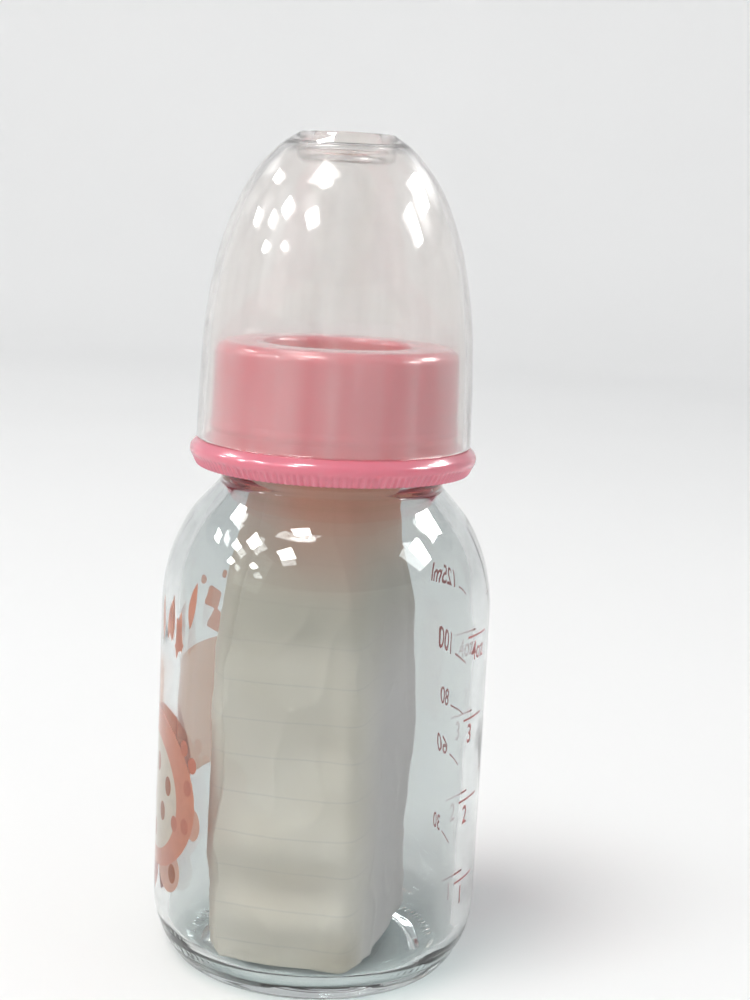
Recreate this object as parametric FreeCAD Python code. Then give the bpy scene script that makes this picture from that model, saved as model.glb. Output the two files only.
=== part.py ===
"""Glass feeding bottle with a screw collar, a teat stored point down, a hood and a folded sheet inside.

Frame: millimetres, +Z up along the bottle's axis, origin at the middle of the base, on the surface
that the bottle stands on. -Y is the plain front of the bottle.
Every turned piece is drawn as an outline of (radius, height, corner rounding) and revolved about Z.
"""

import math
import os

import FreeCAD
import Part

V = FreeCAD.Vector
UP = V(0, 0, 1)

# ---- driving dimensions -------------------------------------------------------------------------
BODY_R = 28.5  # outside radius of the glass wall
WALL = 2.9  # glass wall
FLOOR_Z = 2.9  # inside floor
PUSH_UP = 0.9  # height of the hollow under the base
FOOT_IN, FOOT_OUT = 19.5, 23.9  # the flat ring that the bottle stands on, before rounding
HEEL_Z = 5.8  # where the heel's slope meets the wall, before rounding
SHOULDER_Z = 63.0  # the wall ends and the shoulder's arc begins
SHOULDER_R, SHOULDER_TURN = 29.0, math.radians(33)  # the shoulder's long arc
EASE_R, CONE_TURN = 12.0, math.radians(42)  # the tighter arc above it, up to the straight cone
EASE_SPAN = 1.05  # a little more than the length that the tighter arc takes

BEAD_R, BEAD_TOP = 19.0, 86.0  # the thick ring of glass below the collar
NECK_R = 17.6  # outside of the neck, at the thread's root
BORE_R = 14.0  # inside of the neck
RIM_Z = 104.2  # the glass rim

PITCH = 4.0  # rise of the thread in one turn
THREAD_TURNS = 1.5
THREAD_START_Z = 92.0  # middle of the neck's ridge where it begins
THREAD_DEPTH = 1.35  # the neck's ridge stands this far out
THREAD_ROOT_W, THREAD_CREST_W = 2.1, 0.9  # width of a ridge at its foot and at its crest
THREAD_SINK = 0.4  # a ridge's foot lies this far inside its wall

COLLAR_R = 21.1  # outside of the collar
COLLAR_INNER_R = 19.4  # inside of the collar, between its ridges
COLLAR_RIDGE_DEPTH = 1.3
COLLAR_Z0, COLLAR_TOP = 87.0, 108.3
COLLAR_PLATE = 2.2  # thickness of the collar's top
HOLE_R = 12.4  # the hole that the teat comes through
COLLAR_TOP_ROUND = 2.0
FLANGE_R = 24.5  # widest part of the collar's foot flange
FLANGE_SEAT_Z = 91.5  # where the hood rests
KNURL_TEETH = 130
KNURL_TOP_Z = 88.6
KNURL_R, KNURL_DEPTH = 24.15, 0.45
SNAP_R, SNAP_Z = 21.5, 95.0  # small bead that the hood clips over

GAP = 0.1  # axial clearance between pieces that only touch
FLANGE_T = 1.7  # thickness of the teat's flange
TEAT_FLANGE_R = 17.4
TEAT_NECK_R, TEAT_LIP_R = 11.9, 12.9
TEAT_NIPPLE_R = 7.2
TEAT_LENGTH = 30.0  # from the flange to the nipple's tip
TEAT_WALL = 1.5
FEED_HOLE_R = 0.4
VENT_R = 0.4  # air hole through the teat's flange
VENT_AT_R = 13.0

HOOD_Z0 = FLANGE_SEAT_Z + GAP
HOOD_TOP = 143.3
HOOD_RIM_R = 23.5
HOOD_WALL = 1.25
DISH_R, DISH_DEPTH = 7.1, 4.0  # the hollow in the hood's top
CREST_R = 0.7  # rounding of the dish's edge
CREST_END = math.radians(60)  # where the rounding meets the dome, from level
NOTCH_R = 0.5  # rounding inside, between the dome and the dish's wall
# outer curve of the hood, as (radius, height)
HOOD_CURVE = [(23.2, 103.0), (22.5, 113.5), (20.4, 124.6), (16.6, 134.3), (11.9, 140.4)]

SHEET_T = 0.4  # folded paper, several layers of it modelled as one
SHEET_TOP_R = 13.3
# heights of the sheet's sections, and how far each is drawn in from its plan to the circle in the neck
SHEET_PULL = [(3.9, 0.0), (54.0, 0.0), (64.0, 0.25), (74.0, 0.68), (82.0, 0.93), (90.0, 1.0)]
# plan of the folded sheet at its foot, from its free edge at the front left, anticlockwise from above
SHEET_PLAN = [
    (-15.4, -15.6), (-4.7, -18.6), (5.2, -20.8), (8.4, -17.4), (14.5, -4.4), (17.4, 7.0),
    (9.0, 14.6), (-3.5, 17.2), (-14.0, 12.4), (-19.0, 1.5), (-18.4, -9.0), (-16.6, -14.1),
]


# ---- outlines -----------------------------------------------------------------------------------
def rounded(points):
    """Edges through (r, z, rounding) points in the XZ plane, each corner replaced by a tangent arc."""
    edges = []
    here = V(points[0][0], 0, points[0][1])
    for before, corner, after in zip(points, points[1:], points[2:]):
        c = V(corner[0], 0, corner[1])
        back = (V(before[0], 0, before[1]) - c).normalize()
        ahead = (V(after[0], 0, after[1]) - c).normalize()
        radius = corner[2] if len(corner) > 2 else 0
        if radius:
            half = back.getAngle(ahead) / 2
            reach = radius / math.tan(half)
            middle = (back + ahead).normalize()
            centre = c + middle * (radius / math.sin(half))
            start, end = c + back * reach, c + ahead * reach
            edges.append(Part.LineSegment(here, start).toShape())
            edges.append(Part.Arc(start, centre - middle * radius, end).toShape())
            here = end
        else:
            edges.append(Part.LineSegment(here, c).toShape())
            here = c
    edges.append(Part.LineSegment(here, V(points[-1][0], 0, points[-1][1])).toShape())
    return edges


def turned(edges):
    """The solid that a closed outline makes when it is revolved about Z."""
    wire = Part.Wire(Part.__sortEdges__(edges))
    return Part.Face(wire).revolve(V(0, 0, 0), UP, 360)


def closed(points):
    """Rounded edges of a closed outline; its first corner is square."""
    return rounded(points + [points[0]])


def ridge(wall_r, depth, start_z, start_deg):
    """A helical ridge that stands out of wall_r by depth, or into the hole if depth is negative."""
    foot = wall_r - math.copysign(THREAD_SINK, depth)
    crest = wall_r + depth
    w0, w1 = THREAD_ROOT_W / 2, THREAD_CREST_W / 2
    corners = [V(foot, 0, -w0), V(crest, 0, -w1), V(crest, 0, w1), V(foot, 0, w0)]
    outline = Part.makePolygon(corners + corners[:1])
    helix = Part.makeHelix(PITCH, PITCH * THREAD_TURNS, wall_r)
    solid = Part.Wire(helix.Edges).makePipeShell([outline], True, True)
    solid.rotate(V(0, 0, 0), UP, start_deg)
    solid.translate(V(0, 0, start_z))
    return solid


# ---- the pieces ---------------------------------------------------------------------------------
def shoulder(inset, neck_r, fillet):
    """Outline corners round the shoulder and up to the neck, for a wall this far inside the outer one."""
    arc_r, ease_r = SHOULDER_R - inset, EASE_R - inset
    reach = arc_r * math.tan(SHOULDER_TURN / 2)
    run = reach + EASE_SPAN * ease_r * math.tan((CONE_TURN - SHOULDER_TURN) / 2)
    arc = (BODY_R - inset, SHOULDER_Z + reach, arc_r)
    ease = (arc[0] - run * math.sin(SHOULDER_TURN), arc[1] + run * math.cos(SHOULDER_TURN), ease_r)
    neck = (neck_r, ease[1] + (ease[0] - neck_r) / math.tan(CONE_TURN), fillet)
    return [arc, ease, neck]


def glass_bottle():
    """Glass bottle: heel, wall, shoulder, bead, threaded neck and a hollow base."""
    outside = [
        (0, PUSH_UP),
        (FOOT_IN - 2.5, PUSH_UP, 2.5),
        (FOOT_IN, 0, 0.8),
        (FOOT_OUT, 0, 3.5),
        (BODY_R, HEEL_Z, 16.0),
    ]
    outside += shoulder(0, BEAD_R, 1.5)
    outside += [
        (BEAD_R, BEAD_TOP, 0.8),
        (NECK_R, BEAD_TOP + 1.2, 0.9),
        (NECK_R, RIM_Z, 0.9),
        (BORE_R, RIM_Z, 0.7),
    ]
    inside = shoulder(WALL, BORE_R, 4.0)[::-1]
    inside += [
        (BODY_R - WALL, FLOOR_Z, 6.5),
        (0, FLOOR_Z),
    ]
    body = turned(closed(outside + inside))
    return body.fuse(ridge(NECK_R, THREAD_DEPTH, THREAD_START_Z, 0)).removeSplitter()


def knurl_cutter():
    """Ring outside a toothed outline, which cuts the grip teeth into the collar's foot."""
    points = []
    for i in range(KNURL_TEETH):
        for share, radius in ((0.0, KNURL_R), (0.45, KNURL_R), (0.65, KNURL_R - KNURL_DEPTH),
                              (0.8, KNURL_R - KNURL_DEPTH)):
            a = 2 * math.pi * (i + share) / KNURL_TEETH
            points.append(V(radius * math.cos(a), radius * math.sin(a), COLLAR_Z0 - 1))
    toothed = Part.Face(Part.makePolygon(points + points[:1])).extrude(
        V(0, 0, KNURL_TOP_Z - COLLAR_Z0 + 1))
    blank = Part.makeCylinder(FLANGE_R + 2, KNURL_TOP_Z - COLLAR_Z0 + 1, V(0, 0, COLLAR_Z0 - 1))
    return blank.cut(toothed)


def screw_collar():
    """Screw collar: round shouldered cap with a teat hole, a thread inside and a knurled foot flange."""
    seat_r = HOOD_RIM_R - 0.1
    outline = [
        (HOLE_R, COLLAR_TOP - COLLAR_PLATE / 2),
        (HOLE_R, COLLAR_TOP, 0.9),
        (COLLAR_R - 0.3, COLLAR_TOP, COLLAR_TOP_ROUND),
        (COLLAR_R, SNAP_Z + 0.8),
        (SNAP_R, SNAP_Z, 0.4),
        (COLLAR_R, SNAP_Z - 0.8),
        (COLLAR_R + 0.1, FLANGE_SEAT_Z, 0.4),
        (seat_r, FLANGE_SEAT_Z, 0.5),
        (FLANGE_R + 0.5, FLANGE_SEAT_Z - 1.6, 1.6),
        (FLANGE_R - 0.3, KNURL_TOP_Z, 0.8),
        (FLANGE_R - 1.1, COLLAR_Z0, 0.6),
        (COLLAR_INNER_R + 0.5, COLLAR_Z0, 0.3),
        (COLLAR_INNER_R, COLLAR_Z0 + 1.2, 0.4),
        (COLLAR_INNER_R, COLLAR_TOP - COLLAR_PLATE, 0.6),
        (HOLE_R, COLLAR_TOP - COLLAR_PLATE, 0.4),
    ]
    body = turned(closed(outline)).cut(knurl_cutter())
    thread = ridge(COLLAR_INNER_R, -COLLAR_RIDGE_DEPTH, THREAD_START_Z + PITCH / 2, 0)
    return body.fuse(thread).removeSplitter()


def teat():
    """Silicone teat stored point down: flange on the rim, waist, lip, breast and nipple below it."""
    top = COLLAR_TOP - COLLAR_PLATE - GAP
    base = top - FLANGE_T
    tip = base - TEAT_LENGTH
    w = TEAT_WALL
    outside = [
        (TEAT_FLANGE_R, top, 0.5),
        (TEAT_FLANGE_R, base, 0.5),
        (TEAT_NECK_R, base, 0.4),
        (TEAT_NECK_R, base - 2.4, 0.4),
        (TEAT_LIP_R, base - 2.6, 0.4),
        (TEAT_LIP_R, base - 8.0, 5.0),
        (TEAT_NIPPLE_R - 0.5, base - 14.5, 5.0),
        (TEAT_NIPPLE_R + 0.5, tip + 5.0, 8.0),
        (TEAT_NIPPLE_R - 1.0, tip, 4.5),
        (FEED_HOLE_R, tip),
    ]
    inside = [
        (FEED_HOLE_R, tip + 2.0),
        (TEAT_NIPPLE_R - w - 1.4, tip + 2.0, 3.5),
        (TEAT_NIPPLE_R - w + 0.3, tip + 5.0, 6.0),
        (TEAT_NIPPLE_R - w - 0.5, base - 13.8, 6.0),
        (TEAT_LIP_R - w - 0.5, base - 7.4, 4.0),
        (TEAT_NECK_R - w - 1.0, base - 1.5, 1.5),
        (TEAT_NECK_R - w - 1.0, top, 0.3),
    ]
    body = turned(closed(outside + inside))
    vent = Part.makeCylinder(VENT_R, FLANGE_T + 2, V(VENT_AT_R, 0, base - 1))
    return body.cut(vent)


def up_to_radius(curve, radius):
    """The curve, cut off where it reaches this distance from the Z axis."""
    upright = Part.Line(V(radius, 0, 0), V(radius, 0, 1))
    hit = curve.intersect(upright)[0]
    curve.segment(curve.FirstParameter, curve.parameter(V(hit.X, hit.Y, hit.Z)))
    return curve


def hood_crest():
    """Rounding between the dish's wall and the dome, from the wall outwards."""
    centre = V(DISH_R + CREST_R, 0, HOOD_TOP - CREST_R)
    spots = [centre + V(math.cos(a), 0, math.sin(a)) * CREST_R for a in (math.pi, math.pi / 2, CREST_END)]
    return Part.Arc(*spots), spots[0], spots[-1]


def dome_cap():
    """Clear hood: thin dome with a dished flat top, open at the foot."""
    crest, dish_edge, dome_edge = hood_crest()
    outer = Part.BSplineCurve()
    outer.interpolate([V(r, 0, z) for r, z in [(HOOD_RIM_R, HOOD_Z0)] + HOOD_CURVE] + [dome_edge])
    inner = Part.OffsetCurve(outer, HOOD_WALL, V(0, 1, 0))
    inner = inner.toBSpline(inner.FirstParameter, inner.LastParameter)
    inner = up_to_radius(inner, DISH_R + HOOD_WALL + 2 * NOTCH_R)
    notch = inner.value(inner.LastParameter)
    floor_z = HOOD_TOP - DISH_DEPTH
    wall_r = DISH_R + HOOD_WALL
    wall_top = V(wall_r, 0, notch.z - NOTCH_R)
    under_z = floor_z - HOOD_WALL
    curves = [
        outer,
        inner,
        crest,
        Part.Arc(wall_top, V(wall_r + 0.8 * NOTCH_R, 0, notch.z + 0.25 * NOTCH_R), notch),
        Part.LineSegment(V(0, 0, under_z), V(0, 0, floor_z)),
        Part.LineSegment(outer.value(outer.FirstParameter), inner.value(inner.FirstParameter)),
    ]
    well = rounded([(dish_edge.x, dish_edge.z), (DISH_R, floor_z, 0.8), (0, floor_z)])
    under = rounded([(0, under_z), (wall_r, under_z, 1.6), (wall_r, wall_top.z)])
    return turned([curve.toShape() for curve in curves] + well + under)


def sheet_section(z, pull):
    """Closed C-shaped section of the sheet at height z; pull 0 is the plan, 1 is the circle in the neck."""
    outer = []
    inner = []
    for x, y in SHEET_PLAN:
        r, a = math.hypot(x, y), math.atan2(y, x)
        r += (SHEET_TOP_R - r) * pull
        outer.append(V(r * math.cos(a), r * math.sin(a), z))
        inner.append(V((r - SHEET_T) * math.cos(a), (r - SHEET_T) * math.sin(a), z))
    points = outer + inner[::-1]
    return Part.makePolygon(points + points[:1])


def paper_insert():
    """Folded paper sheet: a C-shaped roll that narrows to fit into the neck."""
    sections = [sheet_section(z, pull) for z, pull in SHEET_PULL]
    return Part.makeLoft(sections, True, True)


PIECES = {
    "glass_bottle": glass_bottle,
    "screw_collar": screw_collar,
    "teat": teat,
    "dome_cap": dome_cap,
    "paper_insert": paper_insert,
}


def main():
    os.makedirs("parts", exist_ok=True)
    for name, build in PIECES.items():
        shape = build()
        shape.exportStep(f"parts/{name}.step")
        print(f"{name}: {len(shape.Solids)} solid, {len(shape.Faces)} faces, "
              f"{shape.Volume / 1000:.2f} ml, valid {shape.isValid()}")


main()
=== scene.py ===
"""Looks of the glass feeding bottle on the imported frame: glass, hood, collar, teat, folded paper and print.

Metres, in the row's frame: +Z up, origin under the middle of the base, -Y the plain front.
Turned pieces are outlines of (radius, height, corner rounding) revolved about Z.
"""

import math

import bmesh
import bpy
from mathutils import Matrix, Vector, noise


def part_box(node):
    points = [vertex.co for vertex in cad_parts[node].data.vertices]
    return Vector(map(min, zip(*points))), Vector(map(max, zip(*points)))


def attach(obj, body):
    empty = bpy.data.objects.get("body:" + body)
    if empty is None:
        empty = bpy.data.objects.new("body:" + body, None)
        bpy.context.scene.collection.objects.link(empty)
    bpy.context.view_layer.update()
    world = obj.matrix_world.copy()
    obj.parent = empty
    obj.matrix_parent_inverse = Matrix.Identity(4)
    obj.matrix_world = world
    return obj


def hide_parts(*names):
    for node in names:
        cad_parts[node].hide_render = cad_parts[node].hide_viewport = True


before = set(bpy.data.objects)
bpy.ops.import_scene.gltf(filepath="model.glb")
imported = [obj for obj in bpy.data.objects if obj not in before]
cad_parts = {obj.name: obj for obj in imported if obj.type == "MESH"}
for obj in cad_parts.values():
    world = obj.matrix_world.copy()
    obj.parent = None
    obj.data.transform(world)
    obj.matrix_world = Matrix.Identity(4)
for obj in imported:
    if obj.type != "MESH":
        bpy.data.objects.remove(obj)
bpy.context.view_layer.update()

MM = 0.001

# ---- driving sizes --------------------------------------------------------------------------------
glass_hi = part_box("glass_bottle")[1]
collar_lo, collar_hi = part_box("screw_collar")
teat_lo, teat_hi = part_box("teat")
hood_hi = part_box("dome_cap")[1]

BODY_R = glass_hi.x
RIM_Z = glass_hi.z
WALL = 2.9 * MM
FLOOR_Z = 2.9 * MM  # inside floor
PUSH_UP = 0.9 * MM  # height of the hollow under the base
FOOT_IN, FOOT_OUT = 19.5 * MM, 23.9 * MM  # the flat ring that the bottle stands on, before rounding
HEEL_Z = 5.8 * MM  # where the heel's slope meets the wall, before rounding
SHOULDER_Z = 63 * MM  # the wall ends and the shoulder's arc begins
SHOULDER_R, SHOULDER_TURN = 29 * MM, math.radians(33)
EASE_R, CONE_TURN = 12 * MM, math.radians(42)  # the tighter arc above it, up to the straight cone
EASE_SPAN = 1.05  # a little more than the length that the tighter arc takes
BEAD_R, BEAD_TOP = 19 * MM, 86 * MM  # the thick ring of glass below the collar
NECK_R, BORE_R = 17.6 * MM, 14 * MM
THREAD_Z0, THREAD_Z1 = 90 * MM, 100 * MM  # the stretch of the neck's outline that carries its thread
GLASS_STEPS = 384  # steps round the axis
STIPPLE_MARKS, STIPPLE_R, STIPPLE_DEPTH = 96, 22.6 * MM, 0.3 * MM
SEAM_HEIGHT = 0.05 * MM  # the mould's parting line stands this far out

PITCH, THREAD_TURNS, THREAD_START_Z = 4 * MM, 1.5, 92 * MM  # the start is the middle of the neck's ridge
THREAD_ROOT_W, THREAD_CREST_W = 2.1 * MM, 0.9 * MM
THREAD_DEPTH, COLLAR_RIDGE_DEPTH = 1.35 * MM, 1.3 * MM

COLLAR_Z0, COLLAR_TOP = collar_lo.z, collar_hi.z
COLLAR_R, COLLAR_INNER_R, COLLAR_PLATE = 21.1 * MM, 19.4 * MM, 2.2 * MM
COLLAR_THREAD_Z0, COLLAR_THREAD_Z1 = 92 * MM, 102 * MM
HOLE_R = 12.4 * MM  # the teat comes through it
FLANGE_R, FLANGE_SEAT_Z, SEAT_R = 24.5 * MM, 91.5 * MM, 23.4 * MM
KNURL_TOP_Z, KNURL_TEETH, KNURL_DEPTH = 88.6 * MM, 130, 0.45 * MM
SNAP_R, SNAP_Z = 21.35 * MM, 94.2 * MM  # small bead that the hood clips over
COLLAR_STEPS = KNURL_TEETH * 5

HOOD_RIM_R, HOOD_WALL = hood_hi.x, 1.25 * MM
HOOD_Z0, HOOD_TOP = 91.6 * MM, hood_hi.z
DISH_R, DISH_DEPTH, CREST_R, NOTCH_R = 7.1 * MM, 4 * MM, 0.7 * MM, 0.5 * MM
# Outer curve of the hood: radius and height in mm.
HOOD_CURVE = [(23.2, 103.0), (22.5, 113.5), (20.4, 124.6), (16.6, 134.3), (11.9, 140.4)]
HOOD_STEPS = 256

TEAT_TOP, TEAT_TIP, TEAT_FLANGE_R = teat_hi.z, teat_lo.z, teat_hi.x
TEAT_BASE = TEAT_TOP - 1.7 * MM
TEAT_WALL = 1.5 * MM
TEAT_STEPS = 128

PAPER_T = 0.14 * MM
PAPER_Z0, PAPER_Z1 = 3.7 * MM, 89.8 * MM
PAPER_TOP_R = 12.6 * MM
PAPER_SPIRAL = 0.25 / 60  # in the neck the sheet winds inwards by this share of its length
# Left of PAPER_SIDE_X the sheet is drawn in by PAPER_TUCK at its foot, less and less up to PAPER_TUCK_Z.
PAPER_TUCK, PAPER_TUCK_Z, PAPER_SIDE_X = 2.4 * MM, 20 * MM, -15.6 * MM
PAPER_LEAN = 0.9 * MM  # the top stands this far left of the neck's middle
PAPER_LIFT = 4.5 * MM  # the lower edge climbs this far towards the back
PAPER_ROWS, PAPER_SPAN_STEPS = 130, 14

CAMERA_AT = Vector((0, -300.8, 132.46)) * MM
CAMERA_PITCH, CAMERA_YAW, CAMERA_ROLL = 9.616, 1.444, 2.83  # degrees
CAMERA_LENS, CAMERA_SENSOR = 63.54, 36  # mm

WORLD_LIGHT, KEY_POWER, FILL_POWER = 0.60, 17.0, 1.4
GLINT_Z, GLINT_LIGHT = 2.08, 110  # height in metres, and power of each square metre
# Ceiling panels and windows that show as bright patches on the gloss: x, y, width and depth in metres.
GLINTS = [
    (-0.66, -0.9, 0.45, 0.42), (-1.45, -1.95, 0.6, 0.55), (-2.45, -0.9, 0.6, 0.5), (-3.4, -0.45, 0.55, 0.5),
    (-2.2, 0.85, 0.5, 0.6), (-4.2, 1.05, 0.7, 0.6), (-4.8, -0.9, 0.8, 0.5), (-3.5, -2.1, 0.5, 0.45),
    (-0.5, 0.9, 0.4, 0.4), (2.8, 1.1, 1.6, 1.1), (3.5, -0.4, 1.7, 0.7),
]
FLOOR_R, FLOOR_BEND, SURROUND_TOP, FLOOR_T = 1.6, 0.45, 0.62, 0.02  # metres


# ---- outlines and turned meshes -------------------------------------------------------------------
def rounded(points, turn=math.radians(9)):
    """(r, z) points through (r, z, rounding) corners, each rounded by an arc with a point every `turn`."""
    line = [Vector(points[0][:2])]
    for before, corner, after in zip(points, points[1:], points[2:]):
        c = Vector(corner[:2])
        radius = corner[2] if len(corner) > 2 else 0
        if not radius:
            line.append(c)
            continue
        back = (Vector(before[:2]) - c).normalized()
        ahead = (Vector(after[:2]) - c).normalized()
        half = back.angle(ahead) / 2
        middle = c + (back + ahead).normalized() * (radius / math.sin(half))
        start = c + back * (radius / math.tan(half)) - middle
        sweep = start.angle_signed(c + ahead * (radius / math.tan(half)) - middle)
        count = max(2, math.ceil(abs(sweep) / turn))
        line += [middle + Matrix.Rotation(-sweep * i / count, 2) @ start for i in range(count + 1)]
    line.append(Vector(points[-1][:2]))
    return line


def spaced(line, step):
    """The same line with no run longer than step."""
    out = [line[0]]
    for a, b in zip(line, line[1:]):
        count = max(1, math.ceil((b - a).length / step))
        out += [a.lerp(b, i / count) for i in range(1, count + 1)]
    return out


def smooth_line(points, per_span):
    """Catmull-Rom line through points, with this many steps between neighbours."""
    ends = [points[0] * 2 - points[1], *points, points[-1] * 2 - points[-2]]
    line = []
    for a, b, c, d in zip(ends, ends[1:], ends[2:], ends[3:]):
        for i in range(per_span):
            t = i / per_span
            line.append(0.5 * ((b * 2) + (c - a) * t + (a * 2 - b * 5 + c * 4 - d) * t * t
                               + (b * 3 - a - c * 3 + d) * t * t * t))
    return line + [points[-1]]


def new_object(name, verts, faces):
    """A mesh object with outward normals."""
    mesh = bpy.data.meshes.new(name)
    mesh.from_pydata(verts, [], faces)
    bm = bmesh.new()
    bm.from_mesh(mesh)
    bmesh.ops.recalc_face_normals(bm, faces=bm.faces)
    bm.to_mesh(mesh)
    bm.free()
    mesh.polygons.foreach_set("use_smooth", [True] * len(mesh.polygons))
    obj = bpy.data.objects.new(name, mesh)
    bpy.context.scene.collection.objects.link(obj)
    return obj


def turned(name, line, steps, shape=None, ring=False):
    """The line, without its repeated points, revolved about Z. shape(r, z, angle) gives each point's own
    radius and height. A line that isn't a ring starts and ends on the axis."""
    line = line[:1] + [p for before, p in zip(line, line[1:]) if (p - before).length > 1e-6]
    body = line if ring else line[1:-1]
    rows = len(body)
    verts = []
    for i in range(steps):
        angle = 2 * math.pi * i / steps
        for r, z in body:
            r, z = shape(r, z, angle) if shape else (r, z)
            verts.append((r * math.cos(angle), r * math.sin(angle), z))
    faces = []
    for i in range(steps):
        here, there = i * rows, (i + 1) % steps * rows
        for j in range(rows if ring else rows - 1):
            k = (j + 1) % rows
            faces.append((here + j, there + j, there + k, here + k))
    if not ring:
        for j, end in ((0, line[0]), (rows - 1, line[-1])):
            verts.append((0, 0, end.y))
            faces += [(i * rows + j, (i + 1) % steps * rows + j, len(verts) - 1) for i in range(steps)]
    return new_object(name, verts, faces)


def ridge(angle, z, start_z):
    """How much of a thread's height stands at this angle and height, from 0 to 1."""
    most = 0
    for lap in range(math.ceil(THREAD_TURNS)):
        turn = angle / (2 * math.pi) + lap
        if turn <= THREAD_TURNS:
            off = abs(z - start_z - PITCH * turn)
            flank = (THREAD_ROOT_W / 2 - off) / ((THREAD_ROOT_W - THREAD_CREST_W) / 2)
            ends = min(turn, THREAD_TURNS - turn) * 30
            most = max(most, min(1, flank, ends))
    return most


# ---- glass ----------------------------------------------------------------------------------------
def shoulder(inset, neck_r, fillet):
    """Outline corners round the shoulder and up to the neck, for a wall this far inside the outer one."""
    arc_r, ease_r = SHOULDER_R - inset, EASE_R - inset
    reach = arc_r * math.tan(SHOULDER_TURN / 2)
    run = reach + EASE_SPAN * ease_r * math.tan((CONE_TURN - SHOULDER_TURN) / 2)
    arc = (BODY_R - inset, SHOULDER_Z + reach, arc_r)
    ease = (arc[0] - run * math.sin(SHOULDER_TURN), arc[1] + run * math.cos(SHOULDER_TURN), ease_r)
    neck = (neck_r, ease[1] + (ease[0] - neck_r) / math.tan(CONE_TURN), fillet)
    return [arc, ease, neck]


def glass_line():
    """The bottle's outline from the middle of the base, up the outside and down the inside to the floor."""
    foot = rounded([(0, PUSH_UP), (FOOT_IN - 2.5 * MM, PUSH_UP, 2.5 * MM), (FOOT_IN, 0, 0.8 * MM),
                    (FOOT_OUT, 0, 3.5 * MM), (BODY_R, HEEL_Z, 16 * MM), (BODY_R, SHOULDER_Z)])
    side = rounded([(BODY_R, SHOULDER_Z)] + shoulder(0, BEAD_R, 1.5 * MM)
                   + [(BEAD_R, BEAD_TOP, 0.8 * MM), (NECK_R, BEAD_TOP + 1.2 * MM, 0.9 * MM),
                      (NECK_R, THREAD_Z0)],
                   math.radians(5))
    thread = [Vector((NECK_R, THREAD_Z0)), Vector((NECK_R, THREAD_Z1))]
    rim = rounded([(NECK_R, THREAD_Z1), (NECK_R, RIM_Z, 0.9 * MM), (BORE_R, RIM_Z, 0.7 * MM),
                   (BORE_R, THREAD_Z0)])
    inside = rounded([(BORE_R, THREAD_Z0)] + shoulder(WALL, BORE_R, 4 * MM)[::-1]
                     + [(BODY_R - WALL, FLOOR_Z, 6.5 * MM), (0, FLOOR_Z)], math.radians(5))
    ring = next(i for i, p in enumerate(foot) if p.x > BODY_R - 0.1 * MM)
    return (spaced(foot[:ring], 0.6 * MM) + spaced(foot[ring:], 4 * MM) + spaced(side, 4 * MM)
            + spaced(thread, 0.4 * MM)[1:] + rim[1:] + spaced(inside, 2.5 * MM)[1:])


WALL_MIDDLE = rounded([(BODY_R - WALL / 2, 0)] + shoulder(WALL / 2, (NECK_R + BORE_R) / 2, 3 * MM)
                      + [((NECK_R + BORE_R) / 2, RIM_Z)], math.radians(3))


def is_inside(r, z):
    """Whether a point of the bottle's outline is on the inner side of the wall."""
    for a, b in zip(WALL_MIDDLE, WALL_MIDDLE[1:]):
        if z <= b.y:
            return z > FLOOR_Z - 0.1 * MM and r < a.x + (b.x - a.x) * (z - a.y) / (b.y - a.y)
    return r < BORE_R + 0.5 * MM


def bump_at(offset, width):
    """A smooth hump, 1 in the middle and 0 from width away."""
    share = max(0, 1 - abs(offset) / width)
    return share * share * (3 - 2 * share)


def glass_shape(r, z, angle):
    """Adds the neck's thread, the mould's seams, the marks under the base and the inside's unevenness."""
    if is_inside(r, z):
        share = min(1, max(0, (r - BORE_R - 1 * MM) / (6 * MM)))
        p = Vector((math.cos(angle), math.sin(angle), z / (18 * MM)))
        slow = noise.noise(p * 1.6)
        quick = noise.noise(p * 4.3)
        return r + share * (0.24 * slow + 0.07 * quick) * MM, z
    if abs(r - NECK_R) < 0.05 * MM:
        return r + THREAD_DEPTH * ridge(angle, z, THREAD_START_Z), z
    if z < 4 * MM:
        mark = bump_at(r - STIPPLE_R, 1.1 * MM) * max(0, math.cos(angle * STIPPLE_MARKS)) ** 0.7
        return r, z + STIPPLE_DEPTH * mark
    if r > BORE_R + 4 * MM and z < BEAD_TOP:
        seam = bump_at(math.remainder(angle, math.pi) * r, 0.5 * MM)
        return min(BODY_R, r + SEAM_HEIGHT * seam), z
    return r, z


def make_glass():
    """The glass bottle."""
    glass = turned("glass_body", glass_line(), GLASS_STEPS, glass_shape)
    glass.data.materials.append(glass_material())
    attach(glass, "bottle")
    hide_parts("glass_bottle")


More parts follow.
